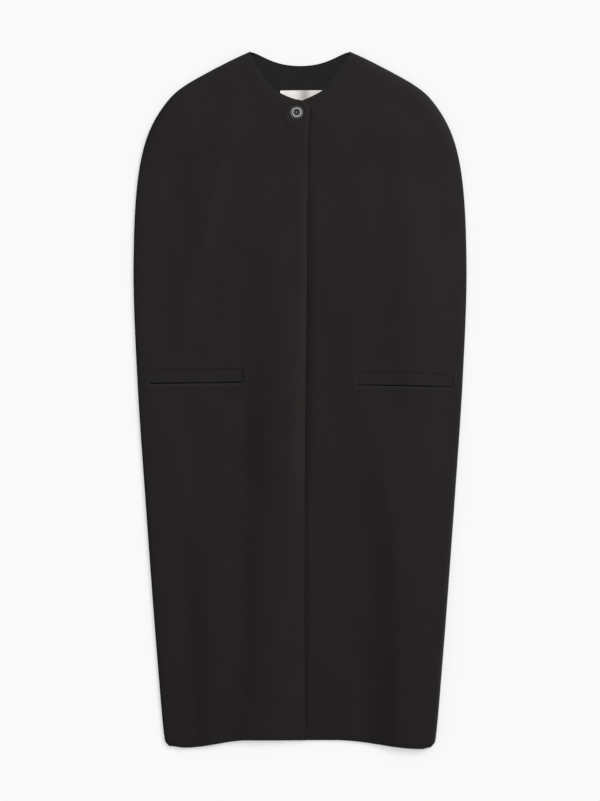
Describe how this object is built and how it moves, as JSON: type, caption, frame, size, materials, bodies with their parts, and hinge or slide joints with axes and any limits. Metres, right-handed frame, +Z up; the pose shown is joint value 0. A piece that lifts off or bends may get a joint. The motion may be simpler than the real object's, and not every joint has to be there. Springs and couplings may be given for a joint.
{
  "type": "cape",
  "caption": "Long collarless cape laid flat: fronts lapped over a one-piece back, a ringed button at the neck, and a welted hand slit in each front.",
  "frame": {"origin": "centre of the bounding box, on the surface that the cape lies on", "axes": "+X towards the wearer's left, +Y from the hem to the neck, +Z up from the surface, out of the fronts"},
  "size_m": [0.5498, 1.15, 0.0176],
  "materials": {
    "black_wool": "matt, brushed wool coating",
    "cream_satin": "soft satin",
    "dark_button": "polished",
    "bright_metal": "satin metal"
  },
  "bodies": {
    "root": {"back_panel": "black_wool", "right_front": "black_wool", "left_front": "black_wool", "right_welt": "black_wool", "left_welt": "black_wool", "back_neck_facing": "black_wool", "label": "cream_satin", "button": "dark_button", "button_ring": "bright_metal"}
  },
  "joints": []
}
